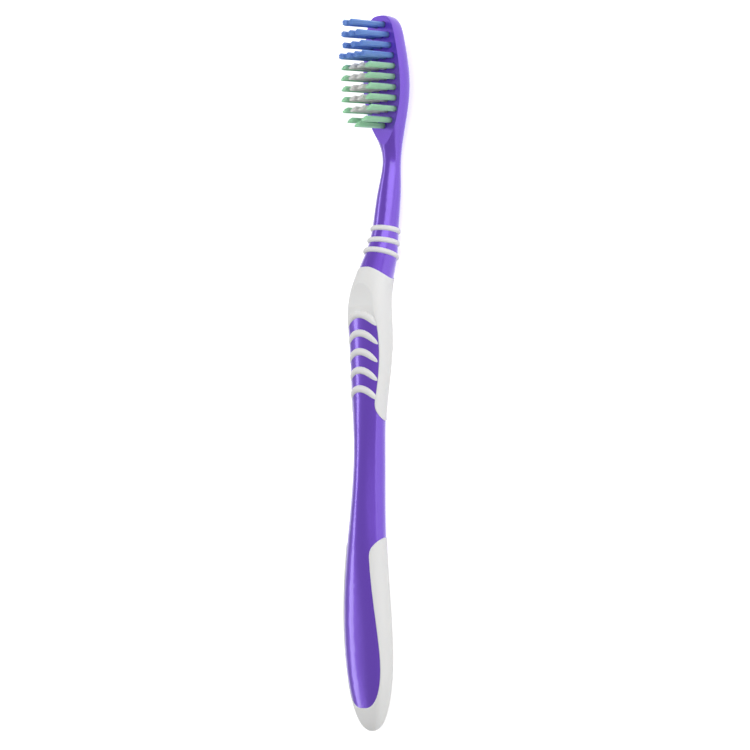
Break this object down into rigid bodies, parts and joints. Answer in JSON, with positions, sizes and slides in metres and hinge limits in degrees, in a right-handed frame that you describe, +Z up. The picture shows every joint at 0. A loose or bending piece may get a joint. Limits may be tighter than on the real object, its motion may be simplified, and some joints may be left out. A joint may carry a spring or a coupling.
{
  "type": "manual toothbrush",
  "caption": "Manual toothbrush with a slim curved two-material handle, ribbed thumb rest, ringed neck and an oval head of bristle tufts in staggered colours.",
  "frame": {"origin": "under the middle of the brush's length, on the surface it lies on", "axes": "+X along the brush from the heel to the head, +Y across it, +Z up, the way the bristles point when the brush lies on its back"},
  "size_m": [0.1902, 0.0146, 0.021],
  "materials": {
    "handle_plastic": "glossy pearl, moulded",
    "soft_grip": "soft matte, moulded",
    "blue_bristle": "drawn filament",
    "green_bristle": "drawn filament",
    "white_bristle": "drawn filament",
    "anchor_metal": "cut flat wire"
  },
  "bodies": {
    "root": {"handle_core": "handle_plastic", "heel_grip": "soft_grip", "neck_ring_lower": "soft_grip", "neck_ring_middle": "soft_grip", "neck_ring_upper": "soft_grip", "thumb_grip": "soft_grip", "tuft_anchors": "anchor_metal", "tuft_row01_left": "blue_bristle", "tuft_row01_right": "blue_bristle", "tuft_row02_centre": "blue_bristle", "tuft_row02_left": "blue_bristle", "tuft_row02_right": "blue_bristle", "tuft_row03_centre": "blue_bristle", "tuft_row03_left": "blue_bristle", "tuft_row03_right": "blue_bristle", "tuft_row04_inner_left": "blue_bristle", "tuft_row04_inner_right": "blue_bristle", "tuft_row04_left": "blue_bristle", "tuft_row04_right": "blue_bristle", "tuft_row05_inner_left": "white_bristle", "tuft_row05_inner_right": "white_bristle", "tuft_row05_left": "green_bristle", "tuft_row05_right": "green_bristle", "tuft_row06_inner_left": "white_bristle", "tuft_row06_inner_right": "white_bristle", "tuft_row06_left": "green_bristle", "tuft_row06_right": "green_bristle", "tuft_row07_inner_left": "white_bristle", "tuft_row07_inner_right": "white_bristle", "tuft_row07_left": "green_bristle", "tuft_row07_right": "green_bristle", "tuft_row08_inner_left": "white_bristle", "tuft_row08_inner_right": "white_bristle", "tuft_row08_left": "green_bristle", "tuft_row08_right": "green_bristle", "tuft_row09_inner_left": "white_bristle", "tuft_row09_inner_right": "white_bristle", "tuft_row09_left": "green_bristle", "tuft_row09_right": "green_bristle", "tuft_row10_left": "green_bristle", "tuft_row10_right": "green_bristle", "tuft_row11_centre": "green_bristle"}
  },
  "joints": []
}
